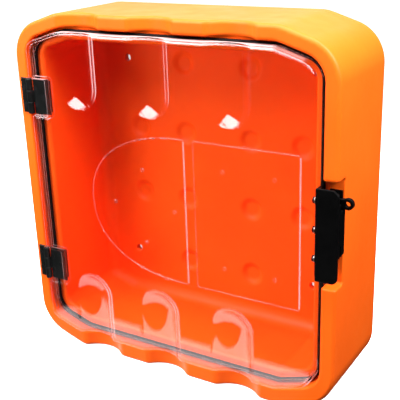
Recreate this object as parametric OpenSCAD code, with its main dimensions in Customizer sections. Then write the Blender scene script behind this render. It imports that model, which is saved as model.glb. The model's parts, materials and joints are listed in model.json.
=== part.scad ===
// Wall cabinet for deck safety equipment: a double-skinned moulded case, a clear moulded
// door on two hinges and a draw latch with a padlock eye.
// Frame: +Z up, +Y towards the wall, +X towards the latch. The origin is the centre of the
// underside. Depths in the modules count from the front rim, and from_rim() moves them there.

/* [Case] */
// Overall width of the case
case_w = 548; // [520:2:580]
// Overall height of the case
case_h = 566; // [546:2:606]
// Overall depth of the case, from the rim plane to the back face
case_d = 170; // [165:1:230]
// How much wider the bottom rim is than the top rim
sill = 6; // [0:1:8]
// Distance from each side to the crease where a corner chamfer starts
chamfer_w = 87; // [75:1:95]
// Drop of the corner chamfer over that distance
chamfer_drop = 28; // [22:1:34]
// Radius that blends each chamfer into the side
corner_r = 60; // [52:1:62]
// Rounding of the outer front edge
front_r = 6; // [4:0.5:7]
// Rounding of the outer back edge
back_r = 12; // [8:0.5:14]
// Width of the front rim at the top and the sides
rim_w = 22; // [20:0.5:24]
// Width of the ledge that carries the seal
ledge_w = 20; // [18:0.5:22]
// Depth of the ledge behind the rim plane
ledge_y = 20; // [19:0.5:22]
// Thickness of the solid back wall
back_t = 12; // [10:0.5:14]
// Thickness of each moulded skin
skin_t = 5; // [4:0.5:6]
// Depth of the fillet where the inner walls meet the back wall
floor_fillet = 20; // [14:1:22]

/* [Scallops and flutes] */
// Distance between neighbouring flutes
flute_pitch = 130; // [124:1:132]
// Sideways shift of the middle flute towards the hinges
flute_shift = 14; // [0:1:16]
// Half the width of a door flute at the door face
flute_half_w = 34; // [28:1:36]
// Depth of a door flute
flute_depth = 15; // [10:0.5:15]
// Distance from the edge of the top rim to the round end of a flute
flute_reach = 141; // [120:1:150]
// Half the width of a rim scallop at the rim plane
scallop_half_w = 37; // [32:1:38]
// Depth of a rim scallop at its middle
scallop_depth = 17; // [10:0.5:18]

/* [Wall fixing] */
// Distance between the outer columns of kiss-off dishes
dish_span_x = 304; // [290:1:310]
// Distance between the inner columns of kiss-off dishes
dish_inner_x = 122; // [110:1:130]
// Distance between rows of kiss-off dishes
dish_pitch_z = 116; // [110:1:118]
// Height of the middle of the dish grid above the sill
dish_mid_z = 292; // [286:1:296]
// Radius of a dish at its mouth
dish_r = 18; // [15:0.5:20]
// Depth of a dish
dish_depth = 5; // [3:0.5:6]
// Distance between the columns of wall fixing holes
hole_span_x = 344; // [330:1:350]
// Distance between the rows of wall fixing holes
hole_span_z = 348; // [340:1:352]
// Height of the middle of the hole pattern above the sill
hole_mid_z = 294; // [286:1:300]
// Radius of each wall fixing hole
wall_hole_r = 6; // [3:0.25:7]

/* [Door] */
// Height of the door face in front of the rim plane
face_h = 13.5; // [12.5:0.5:14]
// Thickness of the clear sheet
sheet_t = 4; // [3:0.5:4]
// Gap between the door skirt and the inside of the rim
door_gap = 5.5; // [4.5:0.25:6]
// Depth of the skirt's free edge behind the rim plane
skirt_y = 12; // [11:0.5:12]
// Distance from the hinge axis to the raised part of the door face
hinge_flange_w = 7; // [6:0.5:8]
// Depth of the two shallow label panels
panel_depth = 1.2; // [0.8:0.1:1.5]

/* [Hinges] */
// Height of the upper hinge centre
hinge_top_z = 430; // [420:1:436]
// Height of the lower hinge centre
hinge_low_z = 142; // [130:1:150]
// Height of one hinge
hinge_h = 56; // [50:1:60]
// Thickness of a hinge leaf
leaf_t = 3.5; // [3:0.25:3.5]
// Length of the door leaf from the hinge axis
door_leaf_w = 37; // [35:0.5:39]
// Length of the case leaf from the hinge axis
case_leaf_w = 19; // [18:0.5:19.5]
// Radius of a hinge pin
pin_r = 2; // [1.5:0.25:2.5]
// Running clearance around a pin
pin_play = 0.05; // [0.02:0.01:0.1]

/* [Latch] */
// Height of the lower end of the lever
lever_z0 = 222; // [218:1:224]
// Height of the upper end of the lever
lever_z1 = 355; // [352:1:355]
// Height of the lower end of the rim notch
notch_z0 = 204; // [200:1:210]
// Height of the upper end of the rim notch
notch_z1 = 359; // [357:1:362]
// Depth of the rim notch behind the rim plane
notch_y = 26; // [24:0.5:28]
// Height of the padlock eye
eye_z = 330.5; // [330.5:0.5:332]
// Radius of the padlock eye's hole
eye_hole_r = 3.8; // [3:0.1:4.5]

/* [Hidden] */
$fn = 64;
eps = 0.01;
reach = 100;

// Case
half_w = case_w / 2;
frame_h = case_h - sill;
mid_z = frame_h / 2;
chamfer_a = atan(chamfer_drop / chamfer_w);
arc_steps = 9;
least_corner_r = 10;
cavity_inset = rim_w + ledge_w;
cavity_back = case_d - back_t;
void_y1 = cavity_back - floor_fillet;
scallop_r = (scallop_half_w * scallop_half_w + scallop_depth * scallop_depth) / (2 * scallop_depth);
scallop_y = scallop_depth - scallop_r;
flute_xs = [for (i = [-1:1]) i * flute_pitch - flute_shift];
dish_spots = [for (col = [-1.5:1.5], row = [-1.5:1.5]) if (abs(col * row) < 2) [col, row]];
rim_inner_x = half_w - rim_w;

// Door
skirt_inset = rim_w + door_gap;
skirt_x = half_w - skirt_inset;
flute_r = (flute_half_w * flute_half_w + flute_depth * flute_depth) / (2 * flute_depth);
flute_y = -face_h - (flute_r - flute_depth);
face_round = 4;
label_top = 394;
label_bottom = 168;
label_split_x = 52;
label_gap = 16;
label_tip_x = -127;
label_right_x = 226;
pip_r = 3;
pip_h = 1;

// Seal
seal_w = 6;
seal_rim_gap = 3;
seal_play = 0.2;

// Hinges
knuckle_r = 5;
axis_x = -(skirt_x - 1.5);
axis_y = -knuckle_r - 0.5;
knuckle_gap = 0.2;
knuckle_third = hinge_h / 3;
pocket_play = 1;
screw_r = 2;
screw_head_r = 4;
screw_head_h = 2.2;
hole_play = 0.15;
case_screw_x = -15;
case_screw_z = 13;
case_screw_len = 16;
insert_r = 3.5;
insert_len = 14;
void_y0 = notch_y + insert_len + 3;
door_screw_len = 13.5;
door_screw_spots = [[9.5, 12.5], [26.5, 0], [9.5, -12.5]];
backing_t = 2;
nut_r = 4;
nut_h = 3.2;

// Latch
latch_knuckle_r = 3.5;
lever_axis_x = skirt_x + 27;
lever_axis_y = -3;
hook_axis_x = lever_axis_x + 3;
hook_axis_y = lever_axis_y - 7.5;
lever_t = 3.5;
lever_x0 = skirt_x + 3.5;
lever_x1 = hook_axis_x + 6;
lever_back_y = hook_axis_y - latch_knuckle_r - 0.5;
lever_front_y = lever_back_y - lever_t;
hook_z0 = 272;
hook_z1 = 322;
lug_low_z0 = hook_z0 - 16;
lug_high_z1 = hook_z1 + 10.7;
base_t = 3.5;
base_z0 = 226;
base_z1 = 351;
base_knuckle_h = 12;
base_arm_x = skirt_x + 19.5;
latch_z_gap = 0.3;
base_low_z1 = lug_low_z0 - latch_z_gap;
base_high_z0 = lug_high_z1 + latch_z_gap;
base_low_z0 = base_low_z1 - base_knuckle_h;
base_high_z1 = base_high_z0 + base_knuckle_h;
boss_r = 5.5;
boss_h = 7;
latch_screw_y = 2;
latch_screw_zs = [246, 288.5, 331];
latch_screw_r = 2.5;
washer_t = 1;
washer_r = 5.5;
catch_y = 5;
catch_t = 3;
catch_play = 0.3;
riser_x = rim_inner_x + 10;
riser_t = 3.5;
eye_x = half_w + 11.5;
eye_r = 8;
eye_arm = 6.5;
keeper_t = 3;
keeper_screw_zs = [251, 294, 336];
keeper_screw_x = rim_inner_x + 5.5;

// --- Outlines in the front plane, drawn as x against height ---

function unit(v) = v / norm(v);

// Points of an arc of radius r that rounds the corner p between p0 and p1
function round_corner(p0, p, p1, r) =
    let (a = unit(p0 - p), b = unit(p1 - p), half = acos(a * b) / 2)
    let (c = p + unit(a + b) * r / sin(half), s = p + a * r / tan(half) - c)
    let (e = p + b * r / tan(half) - c, a0 = atan2(s.y, s.x), a1 = atan2(e.y, e.x))
    let (sweep = (a1 - a0 + 900) % 360 - 180)
    [for (i = [0:arc_steps]) let (t = a0 + sweep * i / arc_steps) c + r * [cos(t), sin(t)]];

// The case outline moved inwards by inset, with all its faces kept parallel
module outline(inset = 0) {
    x = half_w - inset;
    z = mid_z - inset;
    crease = half_w - chamfer_w - inset * tan(chamfer_a / 2);
    low = z - (x - crease) * tan(chamfer_a);
    r = max(corner_r - inset, least_corner_r);
    top_right = concat([[crease, z]], round_corner([crease, z], [x, low], [x, 0], r));
    n = len(top_right);
    right = concat(top_right, [for (i = [n - 1:-1:0]) [top_right[i].x, -top_right[i].y]]);
    left = [for (i = [len(right) - 1:-1:0]) [-right[i].x, right[i].y]];
    translate([0, mid_z]) polygon(concat(right, left));
}

// Outer outline of the case, which reaches down over the sill
module case_outline(inset = 0) {
    outline(inset);
    translate([0, -sill]) outline(inset);
}

// Extrudes a front-plane shape from depth y0 back to depth y1
module prism(y0, y1) {
    translate([0, y1, 0]) rotate([90, 0, 0]) linear_extrude(y1 - y0) children();
}

// A slice of the inset outline at depth y, for blending between outlines
module slice(inset, y) {
    prism(y, y + eps) outline(inset);
}

module case_slice(inset, y) {
    prism(y, y + eps) case_outline(inset);
}

// A rod along the depth axis, from y0 to y1
module rod_y(x, z, y0, y1, r) {
    translate([x, y1, z]) rotate([90, 0, 0]) cylinder(h = y1 - y0, r = r);
}

// A rod along the width axis, from x0 to x1
module rod_x(y, z, x0, x1, r) {
    translate([x0, y, z]) rotate([0, 90, 0]) cylinder(h = x1 - x0, r = r);
}

// Upright barrel round the axis x, y between heights z0 and z1
module barrel(x, y, z0, z1, r) {
    translate([x, y, z0]) cylinder(h = z1 - z0, r = r);
}

// A block given by its lowest and highest corners
module block(low, high) {
    translate(low) cube(high - low);
}

// Moves a piece drawn with depths from the front rim and heights from the sill into the frame
module from_rim() {
    translate([0, -case_d / 2, sill]) children();
}

// --- Case ---

module case_body() {
    front_knee = front_r * (1 - cos(45));
    back_knee = back_r * (1 - cos(45));
    prism(front_r, case_d - back_r) case_outline();
    hull() {
        case_slice(front_r, 0);
        case_slice(front_knee, front_knee);
    }
    hull() {
        case_slice(front_knee, front_knee);
        case_slice(0, front_r);
    }
    hull() {
        case_slice(0, case_d - back_r - eps);
        case_slice(back_knee, case_d - back_knee);
    }
    hull() {
        case_slice(back_knee, case_d - back_knee);
        case_slice(back_r, case_d - eps);
    }
}

module case_cavity() {
    knee = floor_fillet * (1 - cos(45));
    fillet_y = cavity_back - floor_fillet;
    prism(ledge_y - 1, fillet_y) outline(cavity_inset);
    hull() {
        slice(cavity_inset, fillet_y - eps);
        slice(cavity_inset + knee, cavity_back - knee);
    }
    hull() {
        slice(cavity_inset + knee, cavity_back - knee);
        slice(cavity_inset + floor_fillet, cavity_back - eps);
    }
}

// Closed air space between the outer and inner skins
module skin_void() {
    difference() {
        prism(void_y0, void_y1) case_outline(skin_t);
        prism(void_y0 - 1, void_y1 + 1) outline(cavity_inset - skin_t);
    }
}

// Hollows across the rim, in line with the door flutes
module rim_scallops() {
    for (x = flute_xs) {
        barrel(x, scallop_y, -sill - 1, rim_w + 1, scallop_r);
        barrel(x, scallop_y, frame_h - rim_w - 1, frame_h + 1, scallop_r);
    }
}

// Round dishes where the back wall's inner and outer skins are fused
module kiss_off_dishes() {
    for (spot = dish_spots) {
        x = sign(spot.x) * (abs(spot.x) > 1 ? dish_span_x : dish_inner_x) / 2;
        translate([x, cavity_back - 1, dish_mid_z + spot.y * dish_pitch_z]) rotate([-90, 0, 0])
            cylinder(h = dish_depth + 1, r1 = dish_r, r2 = dish_r * 0.7);
    }
}

module wall_holes() {
    for (x = [-hole_span_x, hole_span_x] / 2, z = [-hole_span_z, hole_span_z] / 2)
        rod_y(x, hole_mid_z + z, cavity_back - 1, case_d + 1, wall_hole_r);
}

module insert_pockets() {
    for (z = [hinge_low_z, hinge_top_z], side = [-1, 1])
        rod_y(axis_x + case_screw_x, z + side * case_screw_z, -1, insert_len + 3, insert_r);
    for (z = keeper_screw_zs)
        rod_y(keeper_screw_x, z, notch_y - 1, notch_y + insert_len - 2, insert_r);
}

module case_shell() {
    from_rim() color("darkorange") difference() {
        case_body();
        prism(-1, ledge_y) outline(rim_w);
        case_cavity();
        skin_void();
        rim_scallops();
        block([rim_inner_x - 1, -1, notch_z0], [half_w + 1, notch_y, notch_z1]);
        kiss_off_dishes();
        wall_holes();
        insert_pockets();
    }
}

module door_seal() {
    inset = rim_w + seal_rim_gap;
    from_rim() color("black") prism(skirt_y + seal_play, ledge_y) difference() {
        outline(inset);
        outline(inset + seal_w);
    }
}

// --- Door ---

module round_end_flute(x, play) {
    for (top = [0, 1]) {
        centre_z = top ? frame_h - flute_reach + flute_half_w : flute_reach - flute_half_w;
        translate([x, flute_y, centre_z]) sphere(r = flute_r + play);
        translate([x, flute_y, top ? centre_z : centre_z - 2 * reach])
            cylinder(h = 2 * reach, r = flute_r + play);
    }
}

// The door's solid form, with every face moved inwards by play
module door_form(play) {
    front = play - face_h;
    back = play > 0 ? skirt_y + 1 : skirt_y;
    inset = skirt_inset + play;
    difference() {
        union() {
            prism(front + face_round, back) outline(inset);
            hull() {
                slice(inset + face_round, front);
                slice(inset, front + face_round);
            }
        }
        block([-half_w, -reach, 0], [axis_x + hinge_flange_w + play, play, frame_h]);
        for (z = [hinge_low_z, hinge_top_z]) hinge_pocket(z, play);
        for (x = flute_xs) round_end_flute(x, play);
    }
}

module hinge_pocket(z, play) {
    half = hinge_h / 2 + pocket_play + play;
    x = axis_x + door_leaf_w + pocket_play + play;
    block([-half_w, -reach, z - half], [x, play, z + half]);
}

// Half-ellipse label panel, flat on its latch side
module round_label() {
    half_h = (label_top - label_bottom) / 2;
    right_x = label_split_x - label_gap / 2;
    steps = 40;
    squareness = 0.9;
    translate([right_x, (label_top + label_bottom) / 2])
        polygon([for (i = [0:steps]) let (a = 90 + 180 * i / steps)
            [(label_tip_x - right_x) * pow(abs(cos(a)), squareness),
             half_h * sign(sin(a)) * pow(abs(sin(a)), squareness)]]);
}

module square_label() {
    left_x = label_split_x + label_gap / 2;
    translate([left_x, label_bottom])
        square([label_right_x - left_x, label_top - label_bottom]);
}

// Small locating pips for the label inserts
module label_pips() {
    mid = (label_top + label_bottom) / 2;
    round_spots = [[-84, 0], [24, 0], [-30, 58], [-30, -58]];
    square_spots = [[107, 74], [188, 74], [107, -74], [188, -74]];
    for (p = concat(round_spots, square_spots))
        rod_y(p.x, mid + p.y, panel_depth - face_h - pip_h, panel_depth - face_h + eps, pip_r);
}

module door_panel() {
    from_rim() color([0.95, 0.97, 1, 0.35]) difference() {
        union() {
            difference() {
                door_form(0);
                door_form(sheet_t);
                prism(-reach, panel_depth - face_h) {
                    round_label();
                    square_label();
                }
            }
            label_pips();
        }
        for (z = [hinge_low_z, hinge_top_z], p = door_screw_spots)
            rod_y(axis_x + p.x, z + p.y, -1, sheet_t + 1, screw_r + hole_play);
        for (z = latch_screw_zs)
            rod_x(latch_screw_y, z, skirt_x - sheet_t - 1, skirt_x + 1, latch_screw_r + hole_play);
    }
}

// --- Hinges ---

// Countersunk screw along the depth axis, its head flush with depth y; play opens its hole
module flat_screw(x, z, y, len, play = 0) {
    rod_y(x, z, y, y + len, screw_r + play);
    translate([x, y - play, z]) rotate([-90, 0, 0])
        cylinder(h = screw_head_h, r1 = screw_head_r + play, r2 = screw_r + play);
}

// Hinge barrel between heights z0 and z1, joined to a leaf that lies towards side
module knuckle(z0, z1, side) {
    translate([axis_x, axis_y, z0]) cylinder(h = z1 - z0, r = knuckle_r);
    inner = min(0, side * (knuckle_r + 1));
    outer = max(0, side * (knuckle_r + 1));
    block([axis_x + inner, -leaf_t, z0], [axis_x + outer, 0, z1]);
}

module pin_bore(z) {
    translate([axis_x, axis_y, z - hinge_h]) cylinder(h = 2 * hinge_h, r = pin_r + pin_play);
}

module case_hinge_leaf(z) {
    half = hinge_h / 2;
    third = knuckle_third / 2 + knuckle_gap / 2;
    from_rim() color("dimgray") difference() {
        union() {
            block([axis_x - case_leaf_w, -leaf_t, z - half], [axis_x - knuckle_r - 0.5, 0, z + half]);
            knuckle(z + third, z + half, -1);
            knuckle(z - half, z - third, -1);
        }
        pin_bore(z);
        for (side = [-1, 1])
            flat_screw(axis_x + case_screw_x, z + side * case_screw_z, -leaf_t, leaf_t + 1, hole_play);
    }
}

module door_hinge_leaf(z) {
    half = hinge_h / 2;
    third = knuckle_third / 2 - knuckle_gap / 2;
    from_rim() color("dimgray") difference() {
        union() {
            block([axis_x + knuckle_r + 0.5, -leaf_t, z - half], [axis_x + door_leaf_w, 0, z + half]);
            knuckle(z - third, z + third, 1);
        }
        pin_bore(z);
        for (p = door_screw_spots)
            flat_screw(axis_x + p.x, z + p.y, -leaf_t, leaf_t + 1, hole_play);
    }
}

module hinge_pin(z) {
    head_r = 3.5;
    head_h = 1.5;
    from_rim() color("silver") translate([axis_x, axis_y, z - hinge_h / 2]) {
        cylinder(h = hinge_h, r = pin_r);
        translate([0, 0, hinge_h]) cylinder(h = head_h, r = head_r);
    }
}

module case_hinge_screws() {
    from_rim() color("silver") for (z = [hinge_low_z, hinge_top_z], side = [-1, 1])
        flat_screw(axis_x + case_screw_x, z + side * case_screw_z, -leaf_t, case_screw_len);
}

// Threaded insert moulded into the case behind depth y
module insert(x, z, y) {
    difference() {
        rod_y(x, z, y, y + insert_len - 2, insert_r);
        rod_y(x, z, y - 1, y + insert_len, screw_r);
    }
}

module case_hinge_inserts() {
    from_rim() color("goldenrod") for (z = [hinge_low_z, hinge_top_z], side = [-1, 1])
        insert(axis_x + case_screw_x, z + side * case_screw_z, 1);
}

module door_hinge_screws() {
    from_rim() color("silver") for (z = [hinge_low_z, hinge_top_z], p = door_screw_spots)
        flat_screw(axis_x + p.x, z + p.y, -leaf_t, door_screw_len);
}

module door_hinge_backing_plates() {
    margin = 3;
    from_rim() color("dimgray") for (z = [hinge_low_z, hinge_top_z]) difference() {
        block([axis_x + knuckle_r, sheet_t, z - hinge_h / 2 + margin],
            [axis_x + door_leaf_w - margin, sheet_t + backing_t, z + hinge_h / 2 - margin]);
        for (p = door_screw_spots)
            rod_y(axis_x + p.x, z + p.y, 0, reach, screw_r + hole_play);
    }
}

module door_hinge_nuts() {
    y = sheet_t + backing_t;
    from_rim() color("silver") for (z = [hinge_low_z, hinge_top_z], p = door_screw_spots) difference() {
        translate([axis_x + p.x, y + nut_h, z + p.y]) rotate([90, 0, 0])
            cylinder(h = nut_h, r = nut_r, $fn = 6);
        rod_y(axis_x + p.x, z + p.y, y - 1, y + nut_h + 1, screw_r);
    }
}

// --- Latch ---
// The lever turns on the base and lies across the door's edge. Its lugs carry the hook's
// pin a little past dead centre, so the closed lever draws the hook against the catch.

module lever_axis_rod(z0, z1, r) {
    barrel(lever_axis_x, lever_axis_y, z0, z1, r);
}

module hook_axis_rod(z0, z1, r) {
    barrel(hook_axis_x, hook_axis_y, z0, z1, r);
}

module latch_base() {
    from_rim() color("#1b1b1d") difference() {
        union() {
            block([skirt_x, 3 - face_h, base_z0], [skirt_x + base_t, skirt_y - 1, base_z1]);
            block([skirt_x, lever_axis_y - latch_knuckle_r, base_low_z0],
                [base_arm_x, lever_axis_y + 2, base_high_z1]);
            for (k = [[base_low_z0, base_low_z1], [base_high_z0, base_high_z1]]) {
                lever_axis_rod(k[0], k[1], latch_knuckle_r);
                block([base_arm_x - 1, lever_axis_y - latch_knuckle_r, k[0]],
                    [lever_axis_x, lever_axis_y + 2, k[1]]);
            }
            for (z = latch_screw_zs)
                rod_x(latch_screw_y, z, skirt_x, skirt_x + base_t + boss_h, boss_r);
        }
        lever_axis_rod(0, frame_h, pin_r + pin_play);
        for (z = latch_screw_zs)
            rod_x(latch_screw_y, z, skirt_x - 1, skirt_x + base_t + boss_h - 1, latch_screw_r);
    }
}

module latch_base_screws() {
    head_h = 3;
    inner_x = skirt_x - sheet_t - washer_t;
    from_rim() color("silver") for (z = latch_screw_zs) {
        rod_x(latch_screw_y, z, inner_x, skirt_x + base_t + boss_h - 2, latch_screw_r);
        rod_x(latch_screw_y, z, inner_x - head_h, inner_x, 2 * latch_screw_r - 0.5);
    }
}

module latch_base_washers() {
    inner_x = skirt_x - sheet_t - washer_t;
    from_rim() color("silver") for (z = latch_screw_zs) difference() {
        rod_x(latch_screw_y, z, inner_x, inner_x + washer_t, washer_r);
        rod_x(latch_screw_y, z, inner_x - 1, inner_x + washer_t + 1, latch_screw_r + hole_play);
    }
}

module latch_pivot_pin() {
    from_rim() color("silver") lever_axis_rod(base_low_z0, base_high_z1, pin_r);
}

// Front of the lever, with a rounded lower corner and a bevelled upper corner
module lever_face() {
    round_r = 9;
    bevel = 7;
    difference() {
        translate([lever_x0, lever_z0]) square([lever_x1 - lever_x0, lever_z1 - lever_z0]);
        translate([lever_x1 - round_r, lever_z0]) difference() {
            square(round_r);
            translate([0, round_r]) circle(r = round_r);
        }
        translate([lever_x1, lever_z1]) rotate(45) square(bevel * sqrt(2), center = true);
    }
}

// Lug between heights z0 and z1 that carries the lever pivot and the hook pin
module lever_lug(z0, z1) {
    lever_axis_rod(z0, z1, latch_knuckle_r);
    block([lever_axis_x - latch_knuckle_r, lever_back_y - 1, z0],
        [hook_axis_x + latch_knuckle_r, lever_axis_y, z1]);
}

module latch_lever() {
    from_rim() color("#141416") difference() {
        union() {
            prism(lever_front_y, lever_back_y) lever_face();
            lever_lug(lug_low_z0, hook_z0 - latch_z_gap);
            lever_lug(hook_z1 + latch_z_gap, lug_high_z1);
        }
        lever_axis_rod(0, frame_h, pin_r + pin_play);
        hook_axis_rod(0, frame_h, pin_r + pin_play);
    }
}

module latch_hook_pin() {
    from_rim() color("silver") hook_axis_rod(lug_low_z0, lug_high_z1, pin_r);
}

// Padlock eye between depths y0 and y1, with an arm back to x0
module eye(x0, y0, y1) {
    rod_y(eye_x, eye_z, y0, y1, eye_r);
    block([x0, y0, eye_z - eye_arm], [eye_x, y1, eye_z + eye_arm]);
}

module latch_hook() {
    web_x = hook_axis_x;
    outer_x = hook_axis_x + latch_knuckle_r;
    lip_x = riser_x + riser_t + 1;
    lip_y = catch_y + catch_t + catch_play;
    lip_t = 4;
    lip_y1 = lip_y + lip_t;
    tab_t = 3;
    tab_y = lip_y + catch_play;
    wing_y = hook_axis_y + 12;
    wing_z0 = lug_low_z0 + 1;
    from_rim() color("#1b1b1d") difference() {
        union() {
            hook_axis_rod(hook_z0, hook_z1, latch_knuckle_r);
            block([web_x, hook_axis_y, hook_z0], [outer_x, lip_y1, hook_z1]);
            block([web_x, wing_y, wing_z0], [outer_x, lip_y1, hook_z1]);
            block([lip_x, lip_y, hook_z0], [outer_x, lip_y1, hook_z1]);
            block([web_x, tab_y, hook_z1 - 1], [outer_x, tab_y + tab_t, eye_z + eye_arm]);
            eye(web_x, tab_y, tab_y + tab_t);
        }
        hook_axis_rod(0, frame_h, pin_r + pin_play);
        rod_y(eye_x, eye_z, -reach, reach, eye_hole_r);
    }
}

module latch_keeper() {
    plate_y = notch_y - keeper_t;
    plate_z0 = keeper_screw_zs[0] - 6;
    plate_z1 = keeper_screw_zs[2] + 6;
    catch_z1 = hook_z1 - 2;
    from_rim() color("#1b1b1d") difference() {
        union() {
            block([rim_inner_x + 0.5, plate_y, plate_z0], [half_w - 3, notch_y, plate_z1]);
            block([riser_x, catch_y, hook_z0], [riser_x + riser_t, plate_y + 1, catch_z1]);
            block([riser_x, catch_y, hook_z0], [riser_x + riser_t + 5, catch_y + catch_t, catch_z1]);
            block([riser_x, catch_y, eye_z - eye_arm], [riser_x + riser_t, plate_y + 1, eye_z + eye_arm]);
            eye(riser_x, catch_y, catch_y + catch_t);
        }
        for (z = keeper_screw_zs)
            flat_screw(keeper_screw_x, z, plate_y, keeper_t + 1, hole_play);
        rod_y(eye_x, eye_z, -reach, reach, eye_hole_r);
    }
}

module keeper_screws() {
    from_rim() color("silver") for (z = keeper_screw_zs)
        flat_screw(keeper_screw_x, z, notch_y - keeper_t, case_screw_len - 2);
}

module keeper_inserts() {
    from_rim() color("goldenrod") for (z = keeper_screw_zs) insert(keeper_screw_x, z, notch_y);
}

case_shell();
door_seal();
case_hinge_leaf(hinge_top_z);  // case_hinge_leaf_upper
case_hinge_leaf(hinge_low_z);  // case_hinge_leaf_lower
case_hinge_screws();
case_hinge_inserts();
hinge_pin(hinge_top_z);  // hinge_pin_upper
hinge_pin(hinge_low_z);  // hinge_pin_lower
latch_keeper();
keeper_screws();
keeper_inserts();
door_panel();
door_hinge_leaf(hinge_top_z);  // door_hinge_leaf_upper
door_hinge_leaf(hinge_low_z);  // door_hinge_leaf_lower
door_hinge_screws();
door_hinge_backing_plates();
door_hinge_nuts();
latch_base();
latch_base_screws();
latch_base_washers();
latch_pivot_pin();
latch_lever();
latch_hook_pin();
latch_hook();
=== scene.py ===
import json
import math
from itertools import product

import bmesh
import bpy
import numpy as np
from mathutils import Matrix, Vector

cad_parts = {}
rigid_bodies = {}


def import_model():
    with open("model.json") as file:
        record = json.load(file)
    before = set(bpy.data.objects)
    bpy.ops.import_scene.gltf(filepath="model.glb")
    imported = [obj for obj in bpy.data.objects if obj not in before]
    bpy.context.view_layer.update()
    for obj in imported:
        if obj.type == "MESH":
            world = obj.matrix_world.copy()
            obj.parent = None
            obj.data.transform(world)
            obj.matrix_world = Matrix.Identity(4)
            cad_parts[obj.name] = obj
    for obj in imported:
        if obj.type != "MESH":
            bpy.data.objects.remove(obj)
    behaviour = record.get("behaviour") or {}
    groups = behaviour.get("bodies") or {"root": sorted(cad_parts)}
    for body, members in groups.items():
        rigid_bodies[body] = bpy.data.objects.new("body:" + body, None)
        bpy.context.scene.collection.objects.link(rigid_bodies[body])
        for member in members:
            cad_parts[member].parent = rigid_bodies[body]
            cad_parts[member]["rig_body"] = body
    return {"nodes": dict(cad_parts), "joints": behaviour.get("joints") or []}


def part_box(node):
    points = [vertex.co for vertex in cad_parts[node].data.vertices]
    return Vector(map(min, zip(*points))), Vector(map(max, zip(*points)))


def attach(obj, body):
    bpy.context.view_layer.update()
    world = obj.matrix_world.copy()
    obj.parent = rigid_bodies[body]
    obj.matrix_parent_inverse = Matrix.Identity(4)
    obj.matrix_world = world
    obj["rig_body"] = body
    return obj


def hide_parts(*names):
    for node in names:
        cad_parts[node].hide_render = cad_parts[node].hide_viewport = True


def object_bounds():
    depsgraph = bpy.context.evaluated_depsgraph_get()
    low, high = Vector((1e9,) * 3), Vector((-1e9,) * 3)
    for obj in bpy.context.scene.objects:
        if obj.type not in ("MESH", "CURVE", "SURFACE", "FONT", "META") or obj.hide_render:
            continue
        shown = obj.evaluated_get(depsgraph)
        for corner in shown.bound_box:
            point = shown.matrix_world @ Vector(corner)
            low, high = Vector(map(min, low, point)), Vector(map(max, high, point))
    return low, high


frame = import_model()
cad_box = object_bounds()

# ---------------------------------------------------------------------------------------
# Sizes, in millimetres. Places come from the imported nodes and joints. Depth y counts from
# the case's front rim and height z from its sill, as in the part. rows() turns them into
# the shared frame.
# ---------------------------------------------------------------------------------------


def box_mm(node):
    low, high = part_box(node)
    return np.array(low) * 1000, np.array(high) * 1000


case_low, case_high = box_mm("case_shell")
seal_low, seal_high = box_mm("door_seal")
door_low, door_high = box_mm("door_panel")
plate_low = box_mm("door_hinge_backing_plates")[0]

RIM_Y = case_low[1]
HALF_W = (case_high[0] - case_low[0]) / 2
CASE_D = case_high[1] - case_low[1]
SEAL_INSET = HALF_W - seal_high[0]
SILL = seal_low[2] - SEAL_INSET - case_low[2]
CASE_H = case_high[2] - case_low[2] - SILL
MID_Z = CASE_H / 2
SEAL_FRONT = seal_low[1] - RIM_Y
LEDGE_Y = seal_high[1] - RIM_Y
SKIRT_INSET = HALF_W - door_high[0]
SKIRT_Y = door_high[1] - RIM_Y
FACE_H = RIM_Y - door_low[1]
SHEET_T = plate_low[1] - RIM_Y

joints = {j["name"]: j for j in frame["joints"]}
hinge_x = joints["door_swing"]["pos_m"][0] * 1000
leaf_boxes = [box_mm("door_hinge_leaf_" + side) for side in ("upper", "lower")]
HINGE_ZS = [(low[2] + high[2]) / 2 - SILL for low, high in leaf_boxes]
LEAF_END = leaf_boxes[0][1][0]
LEAF_HALF = (leaf_boxes[0][1][2] - leaf_boxes[0][0][2]) / 2

# Shape of the case that the boxes don't give
CHAMFER_W, CHAMFER_DROP, CORNER_R = 87.0, 28.0, 60.0
FRONT_R, BACK_R = 6.0, 12.0
RIM_W, LEDGE_W = 22.0, 20.0
BACK_T, FLOOR_FILLET = 12.0, 20.0
SCALLOP_HALF_W, SCALLOP_DEPTH = 37.0, 17.0
NOTCH_Z0, NOTCH_Z1, NOTCH_Y = 204.0, 359.0, 26.0
DISH_SPOTS = ((61.0, 58.0), (61.0, 174.0), (152.0, 58.0))
DISH_MID_Z, DISH_R, DISH_DEPTH = 292.0, 18.0, 5.0
WALL_HOLE_X, WALL_HOLE_Z, WALL_HOLE_MID_Z, WALL_HOLE_R = 172.0, 174.0, 294.0, 6.0

# Shape of the seal and the door, likewise. LABEL_POWER squares off the round label's curved
# end a little, where 1 would be an ellipse.
SEAL_W = 6.0
FLUTE_PITCH, FLUTE_SHIFT, FLUTE_HALF_W = 130.0, 14.0, 34.0
FLUTE_DEPTH, FLUTE_REACH = 15.0, 141.0
FLANGE_W = 7.0
LABEL_TOP, LABEL_BOTTOM, LABEL_TIP, LABEL_END = 394.0, 168.0, -127.0, 226.0
ROUND_LABEL_X, SQUARE_LABEL_X, LABEL_R, PANEL_DEPTH = 44.0, 60.0, 3.0, 1.2
LABEL_POWER = 0.9
PIP_R, PIP_H = 3.0, 1.0
BEAD_R = 0.75

# Grain of the voxel remesh on the hinges and the latch, in metres. The latch is finer, so that
# its inner corners don't fill and its hook turns clear of the lever.
HINGE_VOXEL, LATCH_VOXEL, SOFT_PASSES = 0.0008, 0.0006, 3

# ---------------------------------------------------------------------------------------
# Solid shapes as distance fields: negative inside, and rounded where two faces meet
# ---------------------------------------------------------------------------------------


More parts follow.
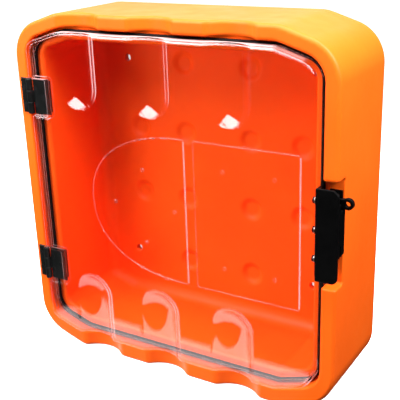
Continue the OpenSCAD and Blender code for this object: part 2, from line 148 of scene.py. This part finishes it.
def meet(a, b, r):
    """Where both a and b are solid, with the edge between them rounded to radius r."""
    return np.minimum(-r, np.maximum(a, b)) + np.hypot(np.maximum(a + r, 0), np.maximum(b + r, 0))


def cut(a, b, r):
    """a with b taken out of it, with the edge rounded to radius r."""
    return meet(a, -b, r)


def outline(x, z):
    """Distance from the case's outline: a block with a shallow chamfer at each corner."""
    angle = math.atan2(CHAMFER_DROP, CHAMFER_W)
    px, pz = np.abs(x), np.abs(z - MID_Z)
    end_x, end_z = HALF_W - CORNER_R, MID_Z - CORNER_R
    crease = HALF_W - CHAMFER_W - CORNER_R * math.tan(angle / 2)
    low = end_z - (end_x - crease) * math.tan(angle)
    inner = np.maximum(np.maximum(pz - end_z, px - end_x),
                       (px - crease) * math.sin(angle) + (pz - end_z) * math.cos(angle))
    corners = [(0, end_z), (crease, end_z), (end_x, low), (end_x, 0)]
    outer = np.full(np.shape(px), np.inf)
    for (x0, z0), (x1, z1) in zip(corners, corners[1:]):
        dx, dz = x1 - x0, z1 - z0
        t = np.clip(((px - x0) * dx + (pz - z0) * dz) / (dx * dx + dz * dz), 0, 1)
        outer = np.minimum(outer, np.hypot(px - x0 - t * dx, pz - z0 - t * dz))
    return np.where(inner <= 0, inner, outer) - CORNER_R


def flute_offset(x):
    """Sideways distance from the nearest of the three flutes."""
    u = x + FLUTE_SHIFT
    return u - FLUTE_PITCH * np.clip(np.round(u / FLUTE_PITCH), -1, 1)


def case_field(x, y, z):
    edge = outline(x, z)
    f = meet(meet(np.minimum(edge, outline(x, z + SILL)), -y, FRONT_R), y - CASE_D, BACK_R)
    f = cut(f, meet(edge + RIM_W, y - LEDGE_Y, 3), 3.5)
    cavity_back = CASE_D - BACK_T
    f = cut(f, meet(edge + RIM_W + LEDGE_W, y - cavity_back, FLOOR_FILLET), 5)
    r = (SCALLOP_HALF_W ** 2 + SCALLOP_DEPTH ** 2) / (2 * SCALLOP_DEPTH)
    scallop = np.hypot(flute_offset(x), y - SCALLOP_DEPTH + r) - r
    f = cut(f, np.maximum(scallop, -edge - RIM_W - 2), 5)
    notch_mid, notch_half = (NOTCH_Z0 + NOTCH_Z1) / 2, (NOTCH_Z1 - NOTCH_Z0) / 2
    notch = meet(HALF_W - RIM_W - 1 - x, y - NOTCH_Y, 2.5)
    notch = meet(notch, np.abs(z - notch_mid) - notch_half, 2.5)
    f = cut(f, notch, 2.5)
    px, pz = np.abs(x), np.abs(z - DISH_MID_Z)
    for dx, dz in DISH_SPOTS:
        radial = np.hypot(px - dx, pz - dz)
        wall = radial - DISH_R + 0.3 * DISH_R * np.maximum(y - cavity_back, -2) / DISH_DEPTH
        f = cut(f, meet(wall * 0.7, y - cavity_back - DISH_DEPTH, 2.5), 3)
    radial = np.hypot(px - WALL_HOLE_X, np.abs(z - WALL_HOLE_MID_Z) - WALL_HOLE_Z)
    hole = np.maximum(radial - WALL_HOLE_R, cavity_back - 2 - y)
    return cut(f, hole, 0.8)


def door_form(x, y, z):
    """The door's outer face, as a solid form that the clear sheet is drawn over."""
    edge = outline(x, z)
    g = meet(edge + SKIRT_INSET, -FACE_H - y, 4.5)
    g = cut(g, meet(x - hinge_x - FLANGE_W, y, 2), 3)
    hinge_mid, hinge_off = sum(HINGE_ZS) / 2, abs(HINGE_ZS[0] - HINGE_ZS[1]) / 2
    side = np.abs(np.abs(z - hinge_mid) - hinge_off) - LEAF_HALF - 1
    g = cut(g, meet(meet(x - LEAF_END - 1, y, 2), side, 3), 3)
    r = (FLUTE_HALF_W ** 2 + FLUTE_DEPTH ** 2) / (2 * FLUTE_DEPTH)
    end = FLUTE_REACH - FLUTE_HALF_W
    past = np.maximum(np.minimum(z, CASE_H - z) - end, 0)
    flute = np.sqrt(flute_offset(x) ** 2 + (y + FACE_H + r - FLUTE_DEPTH) ** 2 + past ** 2) - r
    return cut(g, flute, 3)


def round_label(x, z):
    half_h, half_w = (LABEL_TOP - LABEL_BOTTOM) / 2, ROUND_LABEL_X - LABEL_TIP
    power = 2 / LABEL_POWER
    u = np.maximum(ROUND_LABEL_X - x, 1e-3) / half_w
    v = np.abs(z - (LABEL_TOP + LABEL_BOTTOM) / 2) / half_h + 1e-6
    size = (u ** power + v ** power) ** (1 / power)
    slope = np.hypot((u / size) ** (power - 1) / half_w, (v / size) ** (power - 1) / half_h)
    return meet((size - 1) / slope, x - ROUND_LABEL_X, LABEL_R)


def square_label(x, z):
    mid_x, half_x = (SQUARE_LABEL_X + LABEL_END) / 2, (LABEL_END - SQUARE_LABEL_X) / 2
    mid_z, half_z = (LABEL_TOP + LABEL_BOTTOM) / 2, (LABEL_TOP - LABEL_BOTTOM) / 2
    return meet(np.abs(x - mid_x) - half_x, np.abs(z - mid_z) - half_z, LABEL_R)


def door_field(x, y, z):
    g = door_form(x, y, z)
    f = meet(meet(g, -g - SHEET_T, 0), y - SKIRT_Y, 0.8)
    labels = np.minimum(round_label(x, z), square_label(x, z))
    return cut(f, meet(labels, y + FACE_H - PANEL_DEPTH, 0.5), 0.5)


def seal_field(x, y, z):
    half = SEAL_W / 2
    edge = outline(x, z) + SEAL_INSET + half
    depth = np.abs(y - (SEAL_FRONT + LEDGE_Y) / 2) - (LEDGE_Y - SEAL_FRONT) / 2
    return meet(np.abs(edge) - half, depth, 2.6)


# ---------------------------------------------------------------------------------------
# Meshing: a net of quads over a field's surface, each vertex then moved onto the surface
# ---------------------------------------------------------------------------------------


def slope_of(field, p, h=0.05):
    out = np.empty_like(p)
    for axis in range(3):
        step = np.zeros(3)
        step[axis] = h
        out[:, axis] = (field(*(p + step).T) - field(*(p - step).T)) / (2 * h)
    return out


def surface_net(field, axes):
    grid = np.meshgrid(*axes, indexing="ij")
    value = field(*grid)
    solid = value < 0
    cells_shape = np.array(value.shape) - 1
    count = np.zeros(cells_shape, np.int8)
    for corner in product((0, 1), repeat=3):
        count += solid[tuple(slice(c, c + n) for c, n in zip(corner, cells_shape))]
    crossed = (count > 0) & (count < 8)
    index = np.full(cells_shape, -1, np.int64)
    cells = np.argwhere(crossed)
    index[crossed] = np.arange(len(cells))
    total = np.zeros((len(cells), 3))
    hits = np.zeros(len(cells))
    for start in product((0, 1), repeat=3):
        for axis in range(3):
            if start[axis]:
                continue
            end = tuple(1 if i == axis else s for i, s in enumerate(start))
            a, b = cells + start, cells + end
            va, vb = value[tuple(a.T)], value[tuple(b.T)]
            cross = (va < 0) != (vb < 0)
            t = np.where(cross, va / np.where(cross, va - vb, 1), 0)[:, None]
            pa = np.stack([axes[i][a[:, i]] for i in range(3)], 1)
            pb = np.stack([axes[i][b[:, i]] for i in range(3)], 1)
            total += np.where(cross[:, None], pa + t * (pb - pa), 0)
            hits += cross
    points = total / hits[:, None]
    quads = []
    for axis in range(3):
        u, v = [i for i in range(3) if i != axis]
        low = tuple(slice(0, -1) if i == axis else slice(1, -1) for i in range(3))
        high = tuple(slice(1, None) if i == axis else slice(1, -1) for i in range(3))
        edge = np.argwhere(solid[low] != solid[high])
        edge[:, u] += 1
        edge[:, v] += 1
        leaving = solid[tuple(edge.T)]
        ring = []
        for du, dv in ((-1, -1), (0, -1), (0, 0), (-1, 0)):
            cell = edge.copy()
            cell[:, u] += du
            cell[:, v] += dv
            ring.append(index[tuple(cell.T)])
        ring = np.stack(ring, 1)
        forward = leaving if axis != 1 else ~leaving
        quads.append(np.where(forward[:, None], ring, ring[:, ::-1]))
    quads = np.concatenate(quads)
    reach = 0.7 * max(np.diff(a).max() for a in axes)
    start = points.copy()
    for _ in range(4):
        slope = slope_of(field, points)
        move = field(*points.T)[:, None] * slope / np.maximum((slope ** 2).sum(1), 0.2)[:, None]
        points = np.clip(points - move, start - reach, start + reach)
    normals = slope_of(field, points)
    normals /= np.maximum(np.linalg.norm(normals, axis=1), 1e-9)[:, None]
    return points, quads, normals


def rows(points):
    """From millimetres behind the rim plane and above the sill into the shared frame."""
    return (points + [0, RIM_Y, SILL]) / 1000


def steps(*spans):
    """Grid lines from spans of (start, end, step), each span starting where the last ends."""
    lines = []
    for start, end, step in spans:
        lines.append(np.linspace(start, end, max(2, round((end - start) / step) + 1))[:-1])
    return np.append(np.concatenate(lines), spans[-1][1])


def new_object(name, mesh, material):
    obj = bpy.data.objects.new(name, mesh)
    bpy.context.scene.collection.objects.link(obj)
    mesh.materials.clear()
    mesh.materials.append(material)
    return obj


def moulded(name, field, axes, material):
    points, quads, normals = surface_net(field, axes)
    mesh = bpy.data.meshes.new(name)
    mesh.from_pydata(rows(points).tolist(), [], quads.tolist())
    mesh.polygons.foreach_set("use_smooth", [True] * len(mesh.polygons))
    mesh.normals_split_custom_set_from_vertices(normals.tolist())
    return new_object(name, mesh, material)


def settle(piece, node):
    """Make a piece stand for a CAD node: it rides on the node's body, and the node is hidden."""
    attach(piece, frame["nodes"][node]["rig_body"])
    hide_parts(node)
    return piece


def softened(node, material, voxel):
    """A copy of a CAD node with its edges rounded the way a mould leaves them."""
    mesh = frame["nodes"][node].data.copy()
    obj = new_object(node + "_moulded", mesh, material)
    bm = bmesh.new()
    bm.from_mesh(mesh)
    bmesh.ops.remove_doubles(bm, verts=bm.verts, dist=1e-6)
    bm.to_mesh(mesh)
    bm.free()
    mesh.update()
    remesh = obj.modifiers.new("Remesh", "REMESH")
    remesh.mode = "VOXEL"
    remesh.voxel_size = voxel
    smooth = obj.modifiers.new("Smooth", "SMOOTH")
    smooth.factor = 0.5
    smooth.iterations = SOFT_PASSES
    depsgraph = bpy.context.evaluated_depsgraph_get()
    final = bpy.data.meshes.new_from_object(obj.evaluated_get(depsgraph))
    obj.modifiers.clear()
    obj.data = final
    final.materials.clear()
    final.materials.append(material)
    final.polygons.foreach_set("use_smooth", [True] * len(final.polygons))
    return obj


# ---------------------------------------------------------------------------------------
# Materials
# ---------------------------------------------------------------------------------------


class Tree:
    """A small helper to write a material's nodes."""

    def __init__(self, name):
        self.material = bpy.data.materials.new(name)
        self.material.use_nodes = True
        self.nodes = self.material.node_tree.nodes
        self.links = self.material.node_tree.links
        self.nodes.clear()

    def add(self, kind, inputs=None, **values):
        node = self.nodes.new("ShaderNode" + kind)
        for key, value in values.items():
            setattr(node, key, value)
        for key, value in (inputs or {}).items():
            if isinstance(value, bpy.types.NodeSocket):
                self.links.new(value, node.inputs[key])
            else:
                node.inputs[key].default_value = value
        return node

    def ramp(self, factor, stops):
        node = self.add("ValToRGB", {"Fac": factor})
        ramp = node.color_ramp
        while len(ramp.elements) < len(stops):
            ramp.elements.new(0.5)
        for element, (place, colour) in zip(ramp.elements, stops):
            element.position = place
            element.color = (*colour, 1) if len(colour) == 3 else colour
        return node.outputs["Color"]

    def value_ramp(self, factor, low, high, out_low, out_high):
        node = self.add("MapRange", {"Value": factor, "From Min": low, "From Max": high,
                                     "To Min": out_low, "To Max": out_high})
        return node.outputs["Result"]

    def place(self):
        return self.add("TexCoord").outputs["Object"]

    def noise(self, scale, detail=2.0, rough=0.5, place=None):
        node = self.add("TexNoise", {"Vector": place or self.place(), "Scale": scale,
                                     "Detail": detail, "Roughness": rough})
        return node.outputs["Fac"]

    def bump(self, height, strength, distance, normal=None):
        inputs = {"Height": height, "Strength": strength, "Distance": distance}
        if normal is not None:
            inputs["Normal"] = normal
        return self.add("Bump", inputs).outputs["Normal"]

    def math(self, operation, a, b):
        return self.add("Math", {0: a, 1: b}, operation=operation).outputs["Value"]

    def mix(self, share, first, second):
        return self.add("MixShader", {0: share, 1: first, 2: second}).outputs["Shader"]

    def glow(self, strength):
        node = self.add("Emission", {"Color": (1, 1, 1, 1), "Strength": strength})
        return node.outputs["Emission"]

    def finish(self, shader):
        self.add("OutputMaterial", {"Surface": shader})
        return self.material


def principled(tree, inputs):
    return tree.add("BsdfPrincipled", inputs).outputs["BSDF"]


def orange_material():
    """Rotationally moulded polyethylene: a faint cloudy tint, a satin face and fine peel.

    The cavity's walls are painted a deeper, darker red: painted shade for the dimmer light inside
    the case.
    """
    tree = Tree("moulded_orange")
    # Painted shade: where the "inside" attribute marks the cavity's walls, the orange turns deeper
    # and darker.
    cavity_shade_mask = tree.add("Attribute", attribute_name="inside").outputs["Fac"]
    cloud = tree.noise(7, 4, 0.6)
    outer = tree.ramp(cloud, [(0.25, (0.94, 0.112, 0.005)), (0.6, (1.0, 0.128, 0.006)),
                              (0.85, (1.0, 0.14, 0.008))])
    shaded_cavity_orange = tree.ramp(cloud, [(0.25, (0.93, 0.082, 0.004)), (0.6, (0.98, 0.098, 0.005)),
                             (0.85, (1.0, 0.112, 0.006))])
    colour = tree.add("MixRGB", {"Fac": cavity_shade_mask, "Color1": outer, "Color2": shaded_cavity_orange}).outputs["Color"]
    speck = tree.noise(650, 2)
    tint = tree.add("MixRGB", {"Color1": colour, "Color2": (0.86, 0.1, 0.002, 1),
                               "Fac": tree.value_ramp(speck, 0.55, 0.8, 0, 0.2)})
    rough = tree.value_ramp(tree.noise(30, 3), 0.3, 0.7, 0.42, 0.52)
    peel = tree.bump(tree.noise(420, 3, 0.55), 0.10, 0.0004)
    wave = tree.bump(tree.noise(16, 2), 0.06, 0.004, peel)
    return tree.finish(principled(tree, {
        "Base Color": tint.outputs["Color"], "Roughness": rough, "Normal": wave,
        "IOR": 1.5, "Specular IOR Level": 0.2}))


def clear_material(name, sheen_start, sheen_most):
    """Clear formed sheet: what lies behind it shows through, it mirrors the studio more at a
    glancing angle, and its steep walls carry a painted pale pink sheen, a stand-in for light they
    refract. Lamps shine through it."""
    tree = Tree(name)
    draw = tree.bump(tree.noise(9, 2), 0.03, 0.01)
    glance = tree.add("LayerWeight", {"Blend": 0.5, "Normal": draw}).outputs["Facing"]
    power = tree.math("POWER", glance, 5.0)
    mirrored = tree.value_ramp(power, 0, 1, 0.045, 0.4)
    scuff = tree.value_ramp(tree.noise(40, 4), 0.4, 0.8, 0.0, 0.03)
    gloss = tree.add("BsdfGlossy", {"Color": (1, 1, 1, 1), "Roughness": scuff, "Normal": draw})
    tint = tree.ramp(glance, [(0.0, (0.985, 0.955, 0.95)), (0.74, (0.985, 0.955, 0.95)),
                              (0.93, (0.7, 0.45, 0.5)), (1.0, (0.5, 0.25, 0.3))])
    through = tree.add("BsdfTransparent", {"Color": tint}).outputs["BSDF"]
    sheet = tree.mix(mirrored, through, gloss.outputs["BSDF"])
    # Painted sheen: a pale pink diffuse layer mixed in at glancing angles on the steep walls.
    painted_sheen = tree.add("BsdfDiffuse", {"Color": (0.95, 0.66, 0.66, 1)}).outputs["BSDF"]
    amount = tree.value_ramp(glance, sheen_start, 1.0, 0, sheen_most)
    sheet_with_sheen = tree.mix(amount, sheet, painted_sheen)
    path = tree.add("LightPath")
    lamp = tree.math("MAXIMUM", path.outputs["Is Shadow Ray"], path.outputs["Is Diffuse Ray"])
    return tree.finish(tree.mix(lamp, sheet_with_sheen, through))


def black_material(name, colour, rough, grain, strength, shine):
    """Black moulded nylon or rubber: fine grain, and paler dusty wear on its high spots."""
    tree = Tree(name)
    cloud = tree.noise(35, 3)
    dark, pale = colour
    base = tree.ramp(cloud, [(0.3, dark), (0.75, pale)])
    worn = tree.value_ramp(tree.add("NewGeometry").outputs["Pointiness"], 0.53, 0.64, 0, 0.3)
    edge = tree.add("MixRGB", {"Color1": base, "Color2": (0.04, 0.04, 0.042, 1), "Fac": worn})
    roughness = tree.value_ramp(tree.noise(90, 3), 0.3, 0.7, rough - 0.07, rough + 0.07)
    bump = tree.bump(tree.noise(grain, 3, 0.6), strength, 0.0004)
    return tree.finish(principled(tree, {
        "Base Color": edge.outputs["Color"], "Roughness": roughness, "Normal": bump, "IOR": 1.5,
        "Specular IOR Level": shine}))


def metal_material(name, colour, rough):
    """Turned metal: fine rings of tool marks, with a slightly uneven polish."""
    tree = Tree(name)
    turned = tree.add("TexWave", {"Vector": tree.place(), "Scale": 900.0, "Distortion": 3.0,
                                  "Detail": 2.0}, wave_type="RINGS", rings_direction="Z")
    polish = tree.value_ramp(tree.noise(300, 3), 0.3, 0.7, rough - 0.06, rough + 0.1)
    tint = tree.ramp(tree.noise(120, 2), [(0.3, tuple(c * 0.85 for c in colour)), (0.7, colour)])
    bump = tree.bump(turned.outputs["Fac"], 0.15, 0.0002)
    return tree.finish(principled(tree, {
        "Base Color": tint, "Metallic": 1.0, "Roughness": polish, "Normal": bump}))


orange = orange_material()
# The last two numbers set where the painted sheen on steep walls begins and how strong it grows;
# the beads take more of it.
clear = clear_material("clear_sheet", 0.66, 0.7)
bead_clear = clear_material("clear_bead", 0.35, 0.4)
rubber = black_material("sponge_rubber", ((0.0015, 0.0013, 0.0013), (0.004, 0.0035, 0.0035)),
                        0.8, 900, 0.35, 0.1)
hinge_black = black_material("hinge_nylon", ((0.003, 0.0035, 0.0034), (0.007, 0.008, 0.0078)),
                             0.42, 1100, 0.2, 0.25)
latch_black = black_material("latch_nylon", ((0.0006, 0.0006, 0.0007), (0.0014, 0.0014, 0.0015)),
                             0.5, 1100, 0.15, 0.08)
steel = metal_material("stainless", (0.56, 0.55, 0.53), 0.3)
blackened = black_material("blackened_steel", ((0.002, 0.002, 0.0022), (0.006, 0.006, 0.0065)),
                           0.5, 1600, 0.2, 0.1)
brass = metal_material("brass", (0.72, 0.46, 0.14), 0.32)

# ---------------------------------------------------------------------------------------
# Case, seal and door
# ---------------------------------------------------------------------------------------

span_x = HALF_W + 6
case = moulded("case_moulding", case_field, [
    steps((-span_x, span_x, 3.4)),
    steps((-4, 32, 2.0), (32, CASE_D - 42, 5.0), (CASE_D - 42, CASE_D + 4, 2.6)),
    steps((-SILL - 6, CASE_H + 6, 3.4))], orange)
# Mask for the painted shade inside the case: 1 on the walls within the rim opening, between the rim
# plane and the back face.
spots = np.empty(3 * len(case.data.vertices))
case.data.vertices.foreach_get("co", spots)
spots = spots.reshape(-1, 3) * 1000 - [0, RIM_Y, SILL]
inside = case.data.attributes.new("inside", "FLOAT", "POINT")
inside.data.foreach_set("value", np.clip(-(outline(spots[:, 0], spots[:, 2]) + RIM_W - 2) / 3, 0, 1)
                        * (spots[:, 1] > 1.0) * (spots[:, 1] < CASE_D - 2))
settle(case, "case_shell")

span_x = HALF_W - SEAL_INSET + 5
seal = moulded("seal_loop", seal_field, [
    steps((-span_x, span_x, 2.2)),
    steps((SEAL_FRONT - 2.5, LEDGE_Y + 2.5, 1.8)),
    steps((SEAL_INSET - 5, CASE_H - SEAL_INSET + 5, 2.2))], rubber)
settle(seal, "door_seal")

span_x = HALF_W - SKIRT_INSET + 5
door = moulded("door_sheet", door_field, [
    steps((-span_x, span_x, 2.4)),
    steps((-FACE_H - 4, SKIRT_Y + 4, 1.9)),
    steps((SKIRT_INSET - 5, CASE_H - SKIRT_INSET + 5, 2.4))], clear)
settle(door, "door_panel")


def turned(profile, sides):
    """A closed body of revolution about +Z from (radius, height) pairs, as a bmesh."""
    bm = bmesh.new()
    rings = []
    for radius, height in profile:
        if radius < 1e-6:
            rings.append([bm.verts.new((0, 0, height))])
            continue
        angles = [2 * math.pi * i / sides for i in range(sides)]
        rings.append([bm.verts.new((radius * math.cos(a), radius * math.sin(a), height))
                      for a in angles])
    for low, high in zip(rings, rings[1:]):
        for i in range(sides):
            j = (i + 1) % sides
            face = [low[i % len(low)], low[j % len(low)], high[j % len(high)], high[i % len(high)]]
            unique = list(dict.fromkeys(face))
            if len(unique) > 2:
                bm.faces.new(unique)
    bmesh.ops.recalc_face_normals(bm, faces=bm.faces)
    return bm


def scattered(name, bm, places, material):
    """One object holding a copy of bm at each place, given as matrices."""
    whole = bmesh.new()
    part = bpy.data.meshes.new(name + "_one")
    bm.to_mesh(part)
    for place in places:
        start = len(whole.verts)
        whole.from_mesh(part)
        whole.verts.ensure_lookup_table()
        bmesh.ops.transform(whole, matrix=place, verts=whole.verts[start:])
    mesh = bpy.data.meshes.new(name)
    whole.to_mesh(mesh)
    whole.free()
    bm.free()
    bpy.data.meshes.remove(part)
    mesh.polygons.foreach_set("use_smooth", [True] * len(mesh.polygons))
    return new_object(name, mesh, material)


def facing_front(x, y, z):
    """A place at x, z and depth y behind the rim, turned so that +Z of the copy faces forwards."""
    spot = Vector(rows(np.array([x, y, z])))
    return Matrix.Translation(spot) @ Matrix.Rotation(math.pi / 2, 4, "X")


# Small domes that locate the label inserts
mid_label = (LABEL_TOP + LABEL_BOTTOM) / 2
pip_spots = [(-84, 0), (24, 0), (-30, 58), (-30, -58), (107, 74), (188, 74), (107, -74), (188, -74)]
pip_r, pip_h = PIP_R / 1000, PIP_H / 1000
dome = [(0, -0.0006), (pip_r - 0.0002, -0.0006), (pip_r, 0)]
dome += [(pip_r * math.cos(t), pip_h * math.sin(t)) for t in (0.4, 0.8, 1.2)] + [(0, pip_h)]
pips = scattered("label_pips", turned(dome, 20), [
    facing_front(x, PANEL_DEPTH - FACE_H, mid_label + z) for x, z in pip_spots], bead_clear)
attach(pips, "door")


def beading(name, path, radius, depth, material):
    """A slim rounded bead along a closed path of x and z, standing on depth y."""
    spots = np.array(path)
    ahead = np.roll(spots, -1, 0) - spots
    ahead /= np.linalg.norm(ahead, axis=1)[:, None]
    back_way = np.roll(ahead, 1, 0)
    along = ahead + back_way
    along /= np.linalg.norm(along, axis=1)[:, None]
    across = np.stack([along[:, 1], -along[:, 0]], 1)
    across = across / np.maximum((along * ahead).sum(1), 0.5)[:, None]
    bm = bmesh.new()
    rings = []
    for spot, side in zip(spots, across):
        ring = []
        for angle in (math.radians(a) for a in (-20, 20, 55, 90, 125, 160, 200)):
            u, v = radius * math.cos(angle), radius * math.sin(angle)
            x, z = spot + side * u
            ring.append(bm.verts.new(rows(np.array([x, depth - v * 0.7, z]))))
        rings.append(ring)
    for one, two in zip(rings, rings[1:] + rings[:1]):
        for i in range(len(one)):
            j = (i + 1) % len(one)
            bm.faces.new([one[i], one[j], two[j], two[i]])
    bmesh.ops.recalc_face_normals(bm, faces=bm.faces)
    mesh = bpy.data.meshes.new(name)
    bm.to_mesh(mesh)
    bm.free()
    mesh.polygons.foreach_set("use_smooth", [True] * len(mesh.polygons))
    return new_object(name, mesh, material)


def corner(x, z, start):
    """A quarter turn of a label's corner, from the start angle in degrees."""
    angles = np.radians(np.linspace(start, start + 90, 5))
    return [(x + LABEL_R * math.cos(a), z + LABEL_R * math.sin(a)) for a in angles]


half_label = (LABEL_TOP - LABEL_BOTTOM) / 2
round_x = ROUND_LABEL_X - LABEL_R
low_z, high_z = LABEL_BOTTOM + LABEL_R, LABEL_TOP - LABEL_R
curve = []
for a in np.radians(np.linspace(90, 270, 91)):
    u = abs(math.cos(a)) ** LABEL_POWER
    v = math.copysign(abs(math.sin(a)) ** LABEL_POWER, math.sin(a))
    curve.append((round_x - (round_x - LABEL_TIP) * u, mid_label + half_label * v))
round_path = curve + corner(round_x, low_z, -90)[1:] + corner(round_x, high_z, 0)[:-1]
left_x, right_x = SQUARE_LABEL_X + LABEL_R, LABEL_END - LABEL_R
square_path = (corner(left_x, high_z, 90) + corner(left_x, low_z, 180)
               + corner(right_x, low_z, 270) + corner(right_x, high_z, 0))
for name, path in (("round_label_bead", round_path), ("square_label_bead", square_path)):
    bead = beading(name, path, BEAD_R, PANEL_DEPTH - FACE_H - 0.3, bead_clear)
    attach(bead, "door")

# ---------------------------------------------------------------------------------------
# Hinges and latch
# ---------------------------------------------------------------------------------------

for node in ("case_hinge_leaf_upper", "case_hinge_leaf_lower", "door_hinge_leaf_upper",
             "door_hinge_leaf_lower"):
    settle(softened(node, hinge_black, HINGE_VOXEL), node)
for node in ("latch_base", "latch_lever", "latch_hook", "latch_keeper"):
    settle(softened(node, latch_black, LATCH_VOXEL), node)

for node, material in {
    "hinge_pin_upper": steel, "hinge_pin_lower": steel, "case_hinge_screws": blackened,
    "door_hinge_screws": blackened, "keeper_screws": steel, "door_hinge_nuts": steel,
    "latch_base_screws": blackened, "latch_base_washers": steel, "latch_pivot_pin": steel,
    "latch_hook_pin": steel, "case_hinge_inserts": brass, "keeper_inserts": brass,
    "door_hinge_backing_plates": hinge_black,
}.items():
    data = frame["nodes"][node].data
    data.materials.clear()
    data.materials.append(material)

# ---------------------------------------------------------------------------------------
# Studio
# ---------------------------------------------------------------------------------------

scene = bpy.context.scene
scene.view_settings.view_transform = "Standard"
centre = Vector(((cad_box[0][i] + cad_box[1][i]) / 2 for i in range(3)))


def aimed(obj, target, roll=0.0):
    back = (obj.location - target).normalized()
    turn = back.to_track_quat("Z", "Y").to_matrix().to_4x4()
    obj.matrix_world = Matrix.Translation(obj.location) @ turn @ Matrix.Rotation(roll, 4, "Z")


def softbox(name, place, size, power, target=centre):
    data = bpy.data.lights.new(name, "AREA")
    data.shape = "RECTANGLE"
    data.size, data.size_y = size
    data.energy = power
    obj = bpy.data.objects.new(name, data)
    scene.collection.objects.link(obj)
    obj.location = place
    aimed(obj, target)
    return obj


softbox("top_softbox", Vector((0.1, -0.15, 1.7)), (1.2, 1.2), 42)
softbox("right_softbox", Vector((0.85, -0.2, 1.15)), (0.45, 0.6), 24,
        centre + Vector((0.2, 0, 0.15)))
softbox("front_softbox", Vector((-0.95, -1.15, 0.5)), (0.7, 0.7), 16).visible_glossy = False
softbox("key_softbox", centre + Vector((-0.49, -0.48, 0.73)) * 1.6, (1.7, 0.75), 42)


# How much of the white studio each surface of the clear sheet lets through to the camera, so
# that the open door still shows against it
SHEET_PASS = 0.93
BACKDROP_WAY = (-0.49, 0.80, 0.34)
CARD_X, CARD_Y = (-0.32, 0.20), (-0.212, -0.06)


def studio_world():
    """White to the camera, a low fill, and a pale backdrop that only top faces mirror."""
    world = bpy.data.worlds.new("studio")
    world.use_nodes = True
    nodes, links = world.node_tree.nodes, world.node_tree.links
    nodes.clear()

    def node(kind, **inputs):
        made = nodes.new("ShaderNode" + kind)
        for key, value in inputs.items():
            made.inputs[int(key[1:])].default_value = value
        return made

    ray = nodes.new("ShaderNodeLightPath")
    way = nodes.new("ShaderNodeTexCoord")
    toward = node("VectorMath", i1=BACKDROP_WAY)
    toward.operation = "DOT_PRODUCT"
    links.new(way.outputs["Generated"], toward.inputs[0])
    backdrop = node("MapRange", i1=0.75, i2=0.97, i3=0.02, i4=1.6)
    links.new(toward.outputs["Value"], backdrop.inputs[0])
    seen, fill, mirrored = node("Background"), node("Background", i1=0.26), node("Background")
    for item in (seen, fill, mirrored):
        item.inputs[0].default_value = (1, 1, 1, 1)
    links.new(backdrop.outputs[0], mirrored.inputs[1])
    through = node("Math", i0=SHEET_PASS)
    through.operation = "POWER"
    links.new(ray.outputs["Transparent Depth"], through.inputs[1])
    links.new(through.outputs[0], seen.inputs[1])
    first, second = node("MixShader"), node("MixShader")
    links.new(ray.outputs["Is Glossy Ray"], first.inputs[0])
    links.new(fill.outputs[0], first.inputs[1])
    links.new(mirrored.outputs[0], first.inputs[2])
    links.new(ray.outputs["Is Camera Ray"], second.inputs[0])
    links.new(first.outputs[0], second.inputs[1])
    links.new(seen.outputs[0], second.inputs[2])
    out = nodes.new("ShaderNodeOutputWorld")
    links.new(second.outputs[0], out.inputs["Surface"])
    scene.world = world


studio_world()


def floor_material():
    """Pale floor: white to the camera, dim as a fill, with a bright card under the door's front
    edge that only reflections see."""
    tree = Tree("floor")
    path = tree.add("LightPath")
    place = tree.add("SeparateXYZ", {0: tree.place()}).outputs
    card = tree.value_ramp(place["Y"], CARD_Y[0], CARD_Y[0] + 0.006, 0, 1)
    for side in (tree.value_ramp(place["X"], CARD_X[1], CARD_X[1] + 0.01, 1, 0),
                 tree.value_ramp(place["X"], CARD_X[0], CARD_X[0] + 0.02, 0, 1),
                 tree.value_ramp(place["Y"], CARD_Y[1], CARD_Y[1] + 0.02, 1, 0)):
        card = tree.math("MULTIPLY", card, side)
    grain = tree.value_ramp(tree.noise(60, 3), 0.3, 0.7, 0.9, 0.94)
    tint = tree.ramp(grain, [(0.0, (0.9, 0.9, 0.9)), (1.0, (0.92, 0.92, 0.92))])
    face = principled(tree, {"Base Color": tint, "Roughness": 0.9, "Specular IOR Level": 0.0})
    uncovered = tree.add("AddShader", {0: face, 1: tree.glow(0.95)}).outputs["Shader"]
    depth = path.outputs["Transparent Depth"]
    covered = tree.glow(tree.math("POWER", SHEET_PASS, depth))
    seen = tree.mix(tree.math("GREATER_THAN", depth, 0.5), uncovered, covered)
    mirrored = tree.glow(tree.value_ramp(card, 0, 1, 0.02, 2.6))
    unseen = tree.mix(path.outputs["Is Glossy Ray"], tree.glow(0.08), mirrored)
    return tree.finish(tree.mix(path.outputs["Is Camera Ray"], unseen, seen))


bm = bmesh.new()
bmesh.ops.create_grid(bm, x_segments=8, y_segments=8, size=6)
mesh = bpy.data.meshes.new("floor")
bm.to_mesh(mesh)
bm.free()
floor = new_object("floor", mesh, floor_material())
floor.location = (0, 0, cad_box[0][2] - 0.0005)

# Camera: seen from the latch side and a little above, with a slight roll
CAMERA_LENS, CAMERA_DISTANCE = 72.79, 1.316
azimuth, elevation, roll = math.radians(32.064), math.radians(20.075), math.radians(-1.999)
target = Vector((-0.0089, 0.027, 0.2602))
back = Vector((math.sin(azimuth) * math.cos(elevation), -math.cos(azimuth) * math.cos(elevation),
               math.sin(elevation)))
camera_data = bpy.data.cameras.new("camera")
camera_data.lens = CAMERA_LENS
camera_data.sensor_width = 36
camera_data.clip_end = 50
camera = bpy.data.objects.new("camera", camera_data)
scene.collection.objects.link(camera)
camera.location = target + back * CAMERA_DISTANCE
aimed(camera, target, roll)
scene.camera = camera
